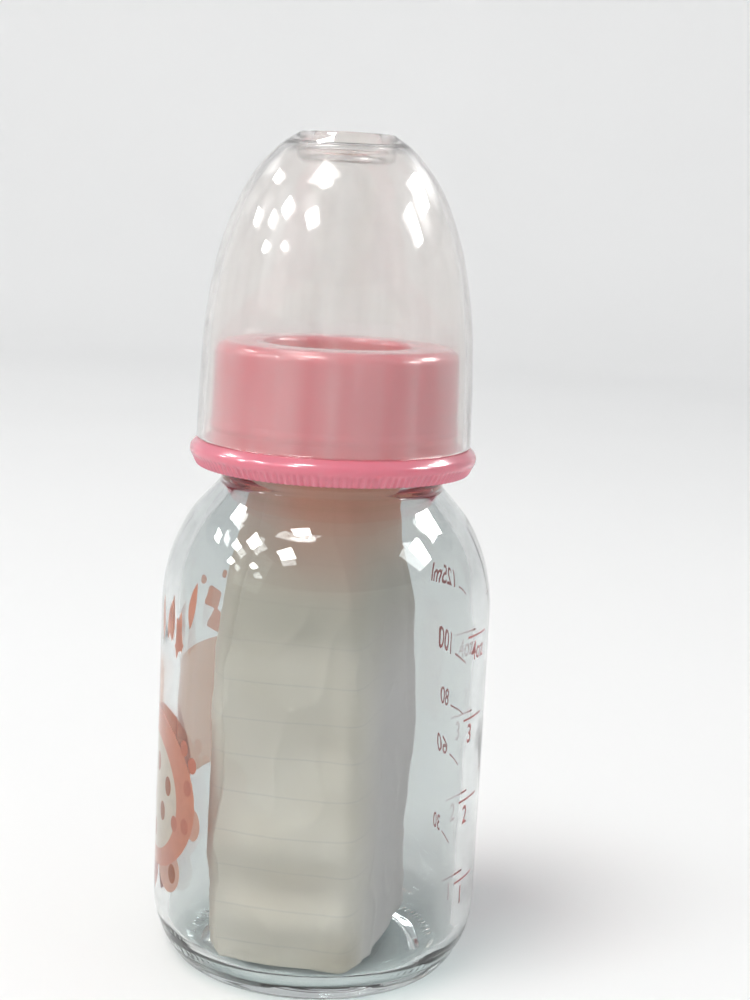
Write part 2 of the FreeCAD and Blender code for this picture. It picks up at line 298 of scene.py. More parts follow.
# ---- collar ---------------------------------------------------------------------------------------
def collar_line():
    """The collar's outline as a ring: over the top, down the outside and up the inside."""
    inner = COLLAR_INNER_R
    under = COLLAR_TOP - COLLAR_PLATE
    outside = rounded([
        (HOLE_R, COLLAR_TOP - COLLAR_PLATE / 2), (HOLE_R, COLLAR_TOP, 0.9 * MM),
        (COLLAR_R - 0.3 * MM, COLLAR_TOP, 2 * MM), (COLLAR_R, SNAP_Z + 1.1 * MM, 2 * MM),
        (SNAP_R, SNAP_Z, 1.2 * MM), (COLLAR_R, SNAP_Z - 0.9 * MM, 0.6 * MM),
        (COLLAR_R + 0.1 * MM, FLANGE_SEAT_Z, 0.4 * MM), (SEAT_R, FLANGE_SEAT_Z, 0.5 * MM),
        (FLANGE_R + 0.5 * MM, FLANGE_SEAT_Z - 1.6 * MM, 1.6 * MM),
        (FLANGE_R - 0.3 * MM, KNURL_TOP_Z, 0.8 * MM), (FLANGE_R - 1.1 * MM, COLLAR_Z0, 0.6 * MM),
        (inner + 0.5 * MM, COLLAR_Z0, 0.3 * MM),
        (inner, COLLAR_Z0 + 1.2 * MM, 0.4 * MM), (inner, COLLAR_THREAD_Z0)])
    thread = [Vector((inner, COLLAR_THREAD_Z0)), Vector((inner, COLLAR_THREAD_Z1))]
    top = rounded([(inner, COLLAR_THREAD_Z1), (inner, under, 0.6 * MM), (HOLE_R, under, 0.4 * MM),
                   (HOLE_R, COLLAR_TOP - COLLAR_PLATE / 2)])
    return spaced(outside, 2 * MM) + spaced(thread, 0.4 * MM)[1:] + spaced(top, 3 * MM)[1:-1]


def collar_shape(r, z, angle):
    """Adds the grip teeth round the foot flange and the thread inside."""
    if abs(r - COLLAR_INNER_R) < 0.05 * MM:
        return r - COLLAR_RIDGE_DEPTH * ridge(angle, z, THREAD_START_Z + PITCH / 2), z
    if r > COLLAR_R + 1.5 * MM and z < KNURL_TOP_Z + 0.6 * MM:
        fade = min(1, (KNURL_TOP_Z + 0.6 * MM - z) / (0.9 * MM))
        valley = 0.5 - 0.5 * math.cos(angle * KNURL_TEETH)
        return r - KNURL_DEPTH * fade * valley ** 1.6, z
    return r, z


def make_collar():
    """The screw collar."""
    collar = turned("collar_body", collar_line(), COLLAR_STEPS, collar_shape, ring=True)
    collar.data.materials.append(pink_material())
    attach(collar, "collar")
    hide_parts("screw_collar")


# ---- hood -----------------------------------------------------------------------------------------
def offset_line(line, distance):
    """The line moved sideways, towards the axis for a line that climbs."""
    out = []
    for before, here, after in zip([line[0], *line], line, [*line[1:], line[-1]]):
        along = (after - before).normalized()
        out.append(here + Vector((-along.y, along.x)) * distance)
    return out


def hood_line():
    """The hood's outline from the middle of its dish, over the crest, down outside, up inside and back."""
    floor_z = HOOD_TOP - DISH_DEPTH
    crest_mid = Vector((DISH_R + CREST_R, HOOD_TOP - CREST_R))
    crest = [crest_mid + Vector((math.cos(a), math.sin(a))) * CREST_R
             for a in (math.radians(d) for d in range(180, 59, -12))]
    climb = [Vector((HOOD_RIM_R, HOOD_Z0))] + [Vector(p) * MM for p in HOOD_CURVE] + [crest[-1]]
    outer = smooth_line(climb, 8)
    notch_r = DISH_R + HOOD_WALL + 2 * NOTCH_R
    inner = [p for p in offset_line(outer, HOOD_WALL) if p.x > notch_r]
    wall_r, notch_z = DISH_R + HOOD_WALL, inner[-1].y
    hollow = [Vector((wall_r + 0.7 * NOTCH_R, notch_z + 0.1 * NOTCH_R)), Vector((wall_r, notch_z - NOTCH_R))]
    well = rounded([(0, floor_z), (DISH_R, floor_z, 0.8 * MM), (DISH_R, crest[0].y)])
    under_z = floor_z - HOOD_WALL
    under = rounded([(wall_r, notch_z - NOTCH_R), (wall_r, under_z, 1.6 * MM), (0, under_z)])
    rim = HOOD_WALL * 0.25
    foot = rounded([outer[1], (HOOD_RIM_R, HOOD_Z0, rim), (HOOD_RIM_R - HOOD_WALL, HOOD_Z0, rim), inner[1]])
    return spaced(well[:-1] + crest + outer[-2:1:-1] + foot[1:-1] + inner[2:] + hollow + under[1:], 2 * MM)


def make_hood():
    """The clear hood."""
    hood = turned("hood_shell", hood_line(), HOOD_STEPS)
    hood.data.materials.append(clear_material())
    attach(hood, "hood")
    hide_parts("dome_cap")


# ---- teat -----------------------------------------------------------------------------------------
def teat_line():
    """The teat's outline as a ring: flange, lip, breast and nipple outside, then back up the inside."""
    w, base, tip, top = TEAT_WALL, TEAT_BASE, TEAT_TIP, TEAT_TOP
    neck_r, lip_r, nipple_r, hole_r = 11.9 * MM, 12.9 * MM, 7.2 * MM, 0.4 * MM
    corners = [
        (neck_r - w, top), (TEAT_FLANGE_R, top, 0.5 * MM), (TEAT_FLANGE_R, base, 0.5 * MM),
        (neck_r, base, 0.4 * MM), (neck_r, base - 2.4 * MM, 0.3 * MM), (lip_r, base - 2.6 * MM, 0.4 * MM),
        (lip_r, base - 8 * MM, 5 * MM), (nipple_r - 0.5 * MM, base - 14.5 * MM, 5 * MM),
        (nipple_r + 0.5 * MM, tip + 5 * MM, 8 * MM), (nipple_r - 1 * MM, tip, 4.5 * MM), (hole_r, tip),
        (hole_r, tip + 2 * MM), (nipple_r - w - 1.4 * MM, tip + 2 * MM, 3.5 * MM),
        (nipple_r - w + 0.3 * MM, tip + 5 * MM, 6 * MM), (nipple_r - w - 0.5 * MM, base - 13.8 * MM, 6 * MM),
        (lip_r - w - 0.5 * MM, base - 7.4 * MM, 4 * MM), (neck_r - w - 1 * MM, base - 1.5 * MM, 1.5 * MM),
        (neck_r - w - 1 * MM, top, 0.3 * MM), (neck_r - w, top)]
    return spaced(rounded(corners), 1.5 * MM)[:-1]


def make_teat():
    """The silicone teat, point down in the neck."""
    teat = turned("teat_body", teat_line(), TEAT_STEPS, ring=True)
    teat.data.materials.append(silicone_material())
    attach(teat, "teat")
    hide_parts("teat")


# ---- paper ----------------------------------------------------------------------------------------
# Plan of the sheet at its foot in mm: from its free edge at the front left, anticlockwise and under itself.
PAPER_PLAN = [
    (-15.4, -15.8), (-10.2, -17.3), (-4.7, -18.8), (1.0, -20.2), (4.9, -20.9), (7.2, -18.6), (9.0, -12.0),
    (11.0, -5.6), (14.4, 2.8), (16.4, 8.4), (9.0, 14.6), (-3.5, 16.8), (-13.8, 12.2), (-18.4, 1.5),
    (-18.2, -8.6), (-16.6, -14.4), (-13.0, -15.3), (-8.0, -16.4), (-2.0, -17.6),
]
# Pillows (+) and dents (-) of the sheet in mm: place along it, height, both half widths, how far it stands.
PAPER_PILLOWS = [
    (9, 25.5, 13, 5, 2.6), (11, 12.5, 13, 4, 2.0), (13, 18.5, 9, 3, -1.0), (17, 42, 7, 6, -1.7),
    (5, 51, 9, 7, 1.3), (12, 60, 11, 3.4, -0.9), (12, 67, 9, 4, 1.1), (23, 33, 5, 6, -0.9),
    (31, 24, 6, 8, 0.9), (36, 40, 6, 5, -1.0), (41, 54, 7, 7, 1.2), (29, 14, 5, 5, -0.8),
    (26, 58, 4, 9, -0.7),
]
# Share of the way from the plan to the circle in the neck, by height in mm.
PAPER_PULL = [(0, 0.0), (54, 0.0), (62, 0.1), (68, 0.28), (76, 0.64), (83, 0.9), (90, 1.0)]


def pull_at(z):
    """How far the sheet is drawn in at height z, from PAPER_PULL."""
    for (z0, p0), (z1, p1) in zip(PAPER_PULL, PAPER_PULL[1:]):
        if z <= z1 * MM:
            t = (z - z0 * MM) / ((z1 - z0) * MM)
            return p0 + (p1 - p0) * t
    return 1.0


def swell(offset, width):
    """A bell shape, 1 in the middle."""
    return math.exp(-(offset / width) ** 2)


def crumple(s, z, pull):
    """Height of the sheet's pillows, dents and creases at arc length s and height z."""
    pillows = 0
    for s0, z0, half_w, half_h, height in PAPER_PILLOWS:
        pillows += height * swell(s - s0 * MM, half_w * MM) * swell(z - z0 * MM, half_h * MM)
    soft = noise.noise(Vector((s / (17 * MM), z / (11 * MM), 0.3)))
    crease = 1 - 2 * abs(noise.noise(Vector((s / (9 * MM) + 4, z / (12 * MM), 5.1))))
    fine = noise.noise(Vector((s / (2.6 * MM), z / (3.1 * MM), 9.7)))
    calm = 1 - 0.6 * pull
    return (pillows + 0.42 * soft + 0.32 * crease ** 5 + 0.045 * fine) * MM * calm


def paper_point(p, s, share):
    """A point of the sheet above plan point p, at arc length s and this share of the way up."""
    foot = PAPER_Z0 + PAPER_LIFT * min(1, max(0, (p.y - 1 * MM) / (10 * MM)))
    z = foot + (PAPER_Z1 - foot) * share
    pull = pull_at(z)
    top_r = PAPER_TOP_R - PAPER_SPIRAL * s
    at = p.normalized() * (p.length + (top_r - p.length) * pull + crumple(s, z, pull))
    at.x -= PAPER_LEAN * pull
    if at.x < PAPER_SIDE_X:
        beyond = min(1, (PAPER_SIDE_X - at.x) / (2 * MM))
        at.x += PAPER_TUCK * max(0, 1 - z / PAPER_TUCK_Z) ** 1.3 * beyond
    return at.x, at.y, z


def make_paper():
    """The folded sheet as one crumpled surface with a little thickness."""
    plan = smooth_line([Vector(p) * MM for p in PAPER_PLAN], PAPER_SPAN_STEPS)
    verts = []
    for j in range(PAPER_ROWS + 1):
        s = 0
        for i, p in enumerate(plan):
            s += (p - plan[i - 1]).length if i else 0
            verts.append(paper_point(p, s, j / PAPER_ROWS))
    cols = len(plan)
    faces = [(j * cols + i, j * cols + i + 1, (j + 1) * cols + i + 1, (j + 1) * cols + i)
             for j in range(PAPER_ROWS) for i in range(cols - 1)]
    paper = new_object("paper_roll", verts, faces)
    thick = paper.modifiers.new("thickness", "SOLIDIFY")
    thick.thickness = PAPER_T
    thick.offset = 0
    paper.data.materials.append(paper_material())
    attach(paper, "bottle")
    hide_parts("paper_insert")


# ---- print ----------------------------------------------------------------------------------------
PRINT_R = BODY_R - 0.09 * MM  # fired into the glass's surface
PRINT_T, PRINT_LAYER = 0.015 * MM, 0.022 * MM
PRINT_STRIP, PRINT_STEP = 0.7 * MM, 1 * MM  # the flat drawings are cut this finely round and up the shoulder
OZ_ML = 29.57
HEEL_ML = 2.5  # what the rounded heel takes from a plain cylinder
TICK_T = 0.36 * MM
ML_TICK, ML_TEXT = (97, 111), 113.5  # degrees round the wall from the front
OZ_TICK, OZ_TEXT = (57, 72), 60


def fill_height(volume_ml):
    """Height of the surface of this much milk, from the inner floor up the straight wall."""
    inner_r_mm = (BODY_R - WALL) / MM
    return FLOOR_Z + (volume_ml + HEEL_ML) * 1000 / (math.pi * inner_r_mm ** 2) * MM


def turned_in(z):
    """How far the shoulder has turned in from the straight wall at height z."""
    climb = max(0, z - SHOULDER_Z)
    return SHOULDER_R - math.sqrt(SHOULDER_R ** 2 - climb ** 2)


def cut_across(bm, axis, low, step):
    """Cuts a flat drawing along lines at every step from low, across the x axis (0) or the y axis (1)."""
    most = max(v.co[axis] for v in bm.verts)
    normal = Vector((1 - axis, axis, 0))
    for i in range(max(0, math.ceil((most - low) / step))):
        geometry = bm.verts[:] + bm.edges[:] + bm.faces[:]
        bmesh.ops.bisect_plane(bm, geom=geometry, plane_co=normal * (low + i * step), plane_no=normal)


def wrap_on_glass(name, bm, material, layer=0):
    """Cuts a flat drawing (x round the wall, y up) into narrow strips, thickens it and bends it round the
    glass. What is printed over something else has a higher layer."""
    cut_across(bm, 0, min(v.co.x for v in bm.verts), PRINT_STRIP)
    cut_across(bm, 1, SHOULDER_Z, PRINT_STEP)
    bmesh.ops.triangulate(bm, faces=bm.faces)
    raised = bmesh.ops.extrude_face_region(bm, geom=bm.faces[:])
    for item in raised["geom"]:
        if isinstance(item, bmesh.types.BMVert):
            item.co.z += PRINT_T
    for v in bm.verts:
        angle = v.co.x / PRINT_R
        r = PRINT_R - turned_in(v.co.y) + layer * PRINT_LAYER + v.co.z
        v.co = (r * math.sin(angle), -r * math.cos(angle), v.co.y)
    bmesh.ops.recalc_face_normals(bm, faces=bm.faces)
    mesh = bpy.data.meshes.new(name)
    bm.to_mesh(mesh)
    bm.free()
    obj = bpy.data.objects.new(name, mesh)
    bpy.context.scene.collection.objects.link(obj)
    obj.data.materials.append(material)
    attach(obj, "bottle")


def add_shape(bm, points):
    """Adds one flat face through (x, y) points."""
    bm.faces.new([bm.verts.new((x, y, 0)) for x, y in points])


def add_bar(bm, x0, x1, y, height):
    """A level bar."""
    add_shape(bm, [(x0, y - height / 2), (x1, y - height / 2), (x1, y + height / 2), (x0, y + height / 2)])


def add_text(bm, words, x, y, size):
    """Plain narrow figures and letters with their left end at x and their middle at y."""
    curve = bpy.data.curves.new("words", "FONT")
    curve.body = words
    curve.size = size
    curve.resolution_u = 3
    curve.offset = 0.06 * MM
    curve.align_y = "CENTER"
    holder = bpy.data.objects.new("words", curve)
    bpy.context.scene.collection.objects.link(holder)
    bpy.context.view_layer.update()
    mesh = bpy.data.meshes.new_from_object(holder.evaluated_get(bpy.context.evaluated_depsgraph_get()))
    mesh.transform(Matrix.Translation((x, y, 0)) @ Matrix.Diagonal((0.78, 1, 1, 1)))
    bm.from_mesh(mesh)
    bpy.data.objects.remove(holder)
    bpy.data.meshes.remove(mesh)
    bpy.data.curves.remove(curve)


def round_at(degrees):
    """Distance round the wall, from the front, of a place at this many degrees."""
    return math.radians(degrees) * PRINT_R


def make_scales():
    """The millilitre scale at the rear right and the ounce scale at the right."""
    ink = ink_material("red_ink", (0.62, 0.085, 0.08))
    ml = bmesh.new()
    for volume in (30, 60, 80, 100, 125):
        z = fill_height(volume)
        add_bar(ml, round_at(ML_TICK[0]), round_at(ML_TICK[1]), z, TICK_T)
        add_text(ml, "125ml" if volume == 125 else str(volume), round_at(ML_TEXT), z + 1 * MM, 4.8 * MM)
    wrap_on_glass("scale_ml", ml, ink)
    oz = bmesh.new()
    for count in (1, 2, 3, 4):
        z = fill_height(count * OZ_ML)
        add_bar(oz, round_at(OZ_TICK[0]), round_at(OZ_TICK[1]), z, TICK_T)
        add_text(oz, "4oz" if count == 4 else str(count), round_at(OZ_TEXT), z - 2.8 * MM, 4.6 * MM)
    wrap_on_glass("scale_oz", oz, ink)


def ellipse(x, y, half_w, half_h):
    """Points of an ellipse about (x, y)."""
    count = 40
    ring = []
    for i in range(count):
        a = 2 * math.pi * i / count
        p = Vector((half_w * math.cos(a), half_h * math.sin(a)))
        ring.append((x + p.x, y + p.y))
    return ring


def leaf(x, y, length, width, tilt):
    """Points of a leaf with two pointed ends, from (x, y) along tilt degrees from level."""
    count = 16
    turn = Matrix.Rotation(math.radians(tilt), 2)
    edge = []
    for side in (1, -1):
        for i in range(count):
            t = i / count if side == 1 else 1 - i / count
            p = turn @ Vector((length * t, side * width / 2 * math.sin(math.pi * t) ** 0.8))
            edge.append((x + p.x, y + p.y))
    return edge


def rounded_box(x, y, width, height, corner):
    """Points of a rectangle with round corners about (x, y)."""
    w, h = width / 2, height / 2
    line = [(0, -h), (w, -h, corner), (w, h, corner), (-w, h, corner), (-w, -h, corner), (0, -h)]
    return [(x + p.x, y + p.y) for p in rounded(line)[:-1]]


def tilted_box(degrees, height, width, tall, tilt):
    """Points of a small tilted rectangle at this many degrees round the wall; sizes in millimetres."""
    turn = Matrix.Rotation(math.radians(tilt), 2)
    place = Vector((round_at(degrees), height * MM))
    return [tuple(place + turn @ Vector(p)) for p in rounded_box(0, 0, width * MM, tall * MM, 0.8 * MM)]


def print_shapes(name, shapes, material, layer=0):
    """One print piece from several flat outlines."""
    bm = bmesh.new()
    for points in shapes:
        add_shape(bm, points)
    wrap_on_glass(name, bm, material, layer)


def make_ball(coral, peach, brick):
    """The spotted ball at the left, with its foot, belly, spots and dots."""
    cream = ink_material("cream_ink", (0.86, 0.81, 0.70))
    orange = ink_material("orange_ink", (0.52, 0.15, 0.035))
    x, y = round_at(-78), 31 * MM
    spots = [(-63.6, 32.7), (-68.4, 27.6), (-75, 35.5), (-82, 29), (-79, 23), (-58.3, 18)]  # degrees, height
    dots = [(-47.6, 38.6), (-49.9, 34.4), (-52.5, 41), (-51, 27.5), (-57.8, 27)]
    print_shapes("decor_ball", [ellipse(x, y, 16 * MM, 14 * MM)], coral, 1)
    print_shapes("decor_foot", [ellipse(round_at(-62), 18.5 * MM, 4.4 * MM, 4.2 * MM),
                                ellipse(round_at(-46.5), 28.5 * MM, 1.8 * MM, 2.8 * MM)], peach)
    print_shapes("decor_belly", [ellipse(x, y - 1 * MM, 10.7 * MM, 10.2 * MM)], cream, 2)
    print_shapes("decor_spots",
                 [ellipse(round_at(d), z * MM, 1.3 * MM, 1.7 * MM) for d, z in spots], orange, 3)
    print_shapes("decor_dots",
                 [ellipse(round_at(d), z * MM, 1.1 * MM, 1.4 * MM) for d, z in dots], brick, 3)


def make_decor():
    """Plain round, leaf and panel shapes in soft corals, at the left and round to the rear left."""
    coral = ink_material("coral_ink", (0.83, 0.38, 0.25))
    peach = ink_material("peach_ink", (0.80, 0.50, 0.39))
    rose = ink_material("rose_ink", (0.60, 0.17, 0.14))
    brick = ink_material("brick_ink", (0.74, 0.28, 0.18))
    thin_peach = ink_material("thin_peach_ink", (0.93, 0.66, 0.54), 0.75)
    thin_coral = ink_material("thin_coral_ink", (0.93, 0.54, 0.42), 0.68)
    # degrees round the wall, height, width, how tall, tilt
    petals = [(-122, 59.6, 5.2, 3.6, 28), (-126, 55.2, 5.6, 2.9, 32), (-115.5, 63.6, 2, 1.8, 25),
              (-130, 64, 1.9, 1.8, 25)]
    # degrees round the wall, height, length, tilt
    leaves = [(-51.5, 61.5, 8, 84), (-56, 57, 6, 110), (-60, 55.5, 8.5, 80), (-64, 58, 6, 100),
              (-68, 58, 7.5, 75), (-73, 57, 8, 95), (-61.5, 57.5, 3.4, 15)]
    print_shapes("decor_petals", [tilted_box(*petal) for petal in petals], thin_coral)
    print_shapes("decor_panel", [rounded_box(round_at(-124), 40 * MM, 41 * MM, 24 * MM, 2 * MM)], thin_peach)
    make_ball(coral, peach, brick)
    print_shapes("decor_leaves",
                 [leaf(round_at(d), z * MM, length * MM, 1.9 * MM, tilt) for d, z, length, tilt in leaves],
                 coral)
    print_shapes("decor_stem", [leaf(round_at(-77), 12 * MM, 9 * MM, 5 * MM, 92)], rose)


# ---- materials ------------------------------------------------------------------------------------
MOST_BOUNCES, MOST_NECK_BOUNCES = 7, 3  # light that has bounced more often goes straight through
LIMIT_Z0, LIMIT_Z1 = 72 * MM, 78 * MM  # the glass's limit falls to the neck's between these heights
INK_GLOW = 0.4  # share of the print's dull part that is lit from behind


def new_material(name):
    """A material with a Principled shader. Returns the material, its tree and the shader."""
    mat = bpy.data.materials.new(name)
    mat.use_nodes = True
    return mat, mat.node_tree, mat.node_tree.nodes["Principled BSDF"]


def node(tree, kind, values=(), **settings):
    """Adds a node, sets its attributes and its inputs by name or place."""
    made = tree.nodes.new(kind)
    for key, value in settings.items():
        setattr(made, key, value)
    for key, value in dict(values).items():
        made.inputs[key].default_value = value
    return made


def join(tree, *chain):
    """Links pairs of (output, input)."""
    for out, into in chain:
        tree.links.new(out, into)


def object_noise(tree, scale, detail=3.0, stretch=(1, 1, 1)):
    """Noise in the object's own coordinates, with scale in features per metre."""
    place = node(tree, "ShaderNodeTexCoord")
    mapping = node(tree, "ShaderNodeMapping", {"Scale": stretch})
    texture = node(tree, "ShaderNodeTexNoise", {"Scale": scale, "Detail": detail})
    join(tree, (place.outputs["Object"], mapping.inputs["Vector"]),
         (mapping.outputs[0], texture.inputs["Vector"]))
    return texture


def ramp(tree, source, stops):
    """A colour ramp over a 0 to 1 value."""
    made = node(tree, "ShaderNodeValToRGB")
    for end, (place, colour) in zip(made.color_ramp.elements, (stops[0], stops[-1])):
        end.position = place
        end.color = (*colour, 1)
    for place, colour in stops[1:-1]:
        made.color_ramp.elements.new(place).color = (*colour, 1)
    tree.links.new(source, made.inputs["Fac"])
    return made


def bump(tree, shader, source, strength, distance):
    """Relief from a value, at this distance in metres."""
    made = node(tree, "ShaderNodeBump", {"Strength": strength, "Distance": distance})
    join(tree, (source, made.inputs["Height"]), (made.outputs[0], shader.inputs["Normal"]))


def lets_light_through(tree, shader, tint):
    """Light between the lamps and dull surfaces goes straight through, so that what is inside is lit, and
    so does light that has bounced many times, so that it isn't lost in the thick places."""
    light_path = node(tree, "ShaderNodeLightPath")
    either = node(tree, "ShaderNodeMath", operation="MAXIMUM")
    trapped = node(tree, "ShaderNodeMath", {1: MOST_BOUNCES}, operation="GREATER_THAN", name="trapped")
    straight = node(tree, "ShaderNodeMath", operation="MAXIMUM")
    clear = node(tree, "ShaderNodeBsdfTransparent", {"Color": (*tint, 1)})
    mix = node(tree, "ShaderNodeMixShader")
    join(tree, (light_path.outputs["Is Shadow Ray"], either.inputs[0]),
         (light_path.outputs["Is Diffuse Ray"], either.inputs[1]),
         (light_path.outputs["Ray Depth"], trapped.inputs[0]),
         (either.outputs[0], straight.inputs[0]), (trapped.outputs[0], straight.inputs[1]),
         (straight.outputs[0], mix.inputs["Fac"]), (shader.outputs[0], mix.inputs[1]),
         (clear.outputs[0], mix.inputs[2]), (mix.outputs[0], tree.nodes["Material Output"].inputs["Surface"]))


def glass_material():
    """Clear soda-lime glass with a grey-green tint and a slightly uneven surface. Light goes straight through
    after fewer bounces in the neck than in the body."""
    mat, tree, shader = new_material("glass")
    shader.inputs["Base Color"].default_value = (0.755, 0.785, 0.78, 1)
    shader.inputs["Roughness"].default_value = 0.004
    shader.inputs["IOR"].default_value = 1.5
    shader.inputs["Transmission Weight"].default_value = 1
    uneven = object_noise(tree, 110, 2, (1, 1, 0.35))
    bump(tree, shader, uneven.outputs["Fac"], 0.05, 0.6 * MM)
    lets_light_through(tree, shader, (0.86, 0.90, 0.90))
    place = node(tree, "ShaderNodeTexCoord")
    apart = node(tree, "ShaderNodeSeparateXYZ")
    limit = node(tree, "ShaderNodeMapRange", {"From Min": LIMIT_Z0, "From Max": LIMIT_Z1,
                                              "To Min": MOST_BOUNCES, "To Max": MOST_NECK_BOUNCES})
    join(tree, (place.outputs["Object"], apart.inputs[0]), (apart.outputs["Z"], limit.inputs["Value"]),
         (limit.outputs[0], tree.nodes["trapped"].inputs[1]))
    return mat


def clear_material():
    """Clear, slightly milky plastic with upright flow streaks."""
    mat, tree, shader = new_material("clear_plastic")
    shader.inputs["Base Color"].default_value = (0.93, 0.915, 0.90, 1)
    shader.inputs["Roughness"].default_value = 0.075
    shader.inputs["IOR"].default_value = 1.47
    shader.inputs["Coat Weight"].default_value = 0.4
    shader.inputs["Coat Roughness"].default_value = 0.02
    streaks = object_noise(tree, 190, 3, (1, 1, 0.05))
    milk = node(tree, "ShaderNodeMapRange",
                {"From Min": 0.35, "From Max": 0.65, "To Min": 0.89, "To Max": 0.985})
    join(tree, (streaks.outputs["Fac"], milk.inputs["Value"]),
         (milk.outputs[0], shader.inputs["Transmission Weight"]))
    flow = object_noise(tree, 260, 2, (1, 1, 0.04))
    bump(tree, shader, flow.outputs["Fac"], 0.1, 0.25 * MM)
    lets_light_through(tree, shader, (0.88, 0.87, 0.86))
    return mat


def pink_material():
    """Glossy moulded pink plastic that light sinks into a little, with a cooler foot flange."""
    mat, tree, shader = new_material("pink_plastic")
    cloud = object_noise(tree, 70)
    tone = ramp(tree, cloud.outputs["Fac"], [(0.3, (0.63, 0.165, 0.225)), (0.7, (0.665, 0.19, 0.25))])
    place = node(tree, "ShaderNodeTexCoord")
    apart = node(tree, "ShaderNodeSeparateXYZ")
    join(tree, (place.outputs["Object"], apart.inputs[0]))
    wall = spread(tree, apart.outputs["Z"], FLANGE_SEAT_Z - 0.5 * MM, FLANGE_SEAT_Z + 0.5 * MM, 0.85)
    colour = tinted(tree, tone.outputs["Color"], wall, (0.655, 0.115, 0.15))
    join(tree, (colour, shader.inputs["Base Color"]))
    shader.inputs["Roughness"].default_value = 0.2
    shader.inputs["Subsurface Weight"].default_value = 0.5
    shader.inputs["Subsurface Radius"].default_value = (0.004, 0.0014, 0.0016)
    shader.inputs["Subsurface Scale"].default_value = 1.0
    shader.inputs["Coat Weight"].default_value = 0.5
    shader.inputs["Coat Roughness"].default_value = 0.05
    grain = object_noise(tree, 900, 2, (1, 1, 0.3))
    bump(tree, shader, grain.outputs["Fac"], 0.08, 0.1 * MM)
    lets_light_through(tree, shader, (0.88, 0.58, 0.60))
    return mat


def silicone_material():
    """Soft translucent silicone, faintly peach."""
    mat, tree, shader = new_material("silicone")
    cloud = object_noise(tree, 120)
    tone = ramp(tree, cloud.outputs["Fac"], [(0.3, (0.82, 0.66, 0.52)), (0.7, (0.88, 0.73, 0.60))])
    join(tree, (tone.outputs["Color"], shader.inputs["Base Color"]))
    shader.inputs["Roughness"].default_value = 0.38
    shader.inputs["Transmission Weight"].default_value = 0.35
    shader.inputs["IOR"].default_value = 1.41
    shader.inputs["Subsurface Weight"].default_value = 0.5
    shader.inputs["Subsurface Radius"].default_value = (0.004, 0.0025, 0.0015)
    shader.inputs["Subsurface Scale"].default_value = 1.0
    skin = object_noise(tree, 1500, 2)
    bump(tree, shader, skin.outputs["Fac"], 0.1, 0.05 * MM)
    return mat


def paper_material():
    """Off-white ruled paper, brown at the front corner's foot, with painted shade: darker high up where the
    collar's shadow falls, tan under the neck, and bluish grey on the right face, which is turned from the
    light.
    """
    mat, tree, shader = new_material("paper")
    cloud = object_noise(tree, 55, 5)
    tone = ramp(tree, cloud.outputs["Fac"],
                [(0.3, (0.71, 0.60, 0.50)), (0.5, (0.75, 0.64, 0.545)), (0.7, (0.79, 0.685, 0.60))])
    place = node(tree, "ShaderNodeTexCoord")
    apart = node(tree, "ShaderNodeSeparateXYZ")
    join(tree, (place.outputs["Object"], apart.inputs[0]))
    lines = ruled_lines(tree, apart.outputs["Z"])
    colour = tinted(tree, tone.outputs["Color"], lines, (0.40, 0.36, 0.38))
    # Painted shade: the right face, turned from the light, is made bluish grey and darker.
    painted_right_face_shade = spread(tree, apart.outputs["X"], 5 * MM, 12 * MM, 0.85)
    colour = tinted(tree, colour, painted_right_face_shade, (0.61, 0.53, 0.53))
    # Painted shadow of the collar: the sheet is darkened from 46 mm upwards.
    shade = spread(tree, apart.outputs["Z"], 46 * MM, 68 * MM, 0.7)
    colour = tinted(tree, colour, shade, (0.40, 0.34, 0.27))
    # Painted tan shade under the collar near the neck, fading out towards the left.
    neck_shade_height = spread(tree, apart.outputs["Z"], 66 * MM, 86 * MM, 0.9)
    middle = spread(tree, apart.outputs["X"], -12 * MM, -3 * MM, 1)
    painted_neck_shade = node(tree, "ShaderNodeMath", operation="MULTIPLY")
    join(tree, (neck_shade_height, painted_neck_shade.inputs[0]), (middle, painted_neck_shade.inputs[1]))
    colour = tinted(tree, colour, painted_neck_shade.outputs[0], (0.66, 0.36, 0.245))
    corner = near_to(tree, place.outputs["Object"], (5 * MM, -20 * MM, 6 * MM), 9 * MM, 0.45)
    colour = tinted(tree, colour, corner, (0.42, 0.31, 0.19))
    join(tree, (colour, shader.inputs["Base Color"]))
    shader.inputs["Roughness"].default_value = 0.85
    fibre = object_noise(tree, 2600, 4)
    bump(tree, shader, fibre.outputs["Fac"], 0.25, 0.06 * MM)
    return mat


def spread(tree, source, low, high, most):
    """A value that climbs smoothly from 0 to most as the source goes from low to high."""
    made = node(tree, "ShaderNodeMapRange", {"From Min": low, "From Max": high, "To Max": most},
                interpolation_type="SMOOTHSTEP")
    tree.links.new(source, made.inputs["Value"])
    return made.outputs[0]


def near_to(tree, place, point, reach, most):
    """A value that falls smoothly from most at a point to 0 at this distance from it."""
    away = node(tree, "ShaderNodeVectorMath", {1: point}, operation="DISTANCE")
    made = node(tree, "ShaderNodeMapRange", {"From Max": reach, "To Min": most, "To Max": 0.0},
                interpolation_type="SMOOTHSTEP")
    join(tree, (place, away.inputs[0]), (away.outputs["Value"], made.inputs["Value"]))
    return made.outputs[0]


def tinted(tree, colour, share, towards):
    """The colour, moved this share of the way towards another."""
    made = node(tree, "ShaderNodeMix", {"B": (*towards, 1)}, data_type="RGBA")
    join(tree, (share, made.inputs["Factor"]), (colour, made.inputs["A"]))
    return made.outputs["Result"]


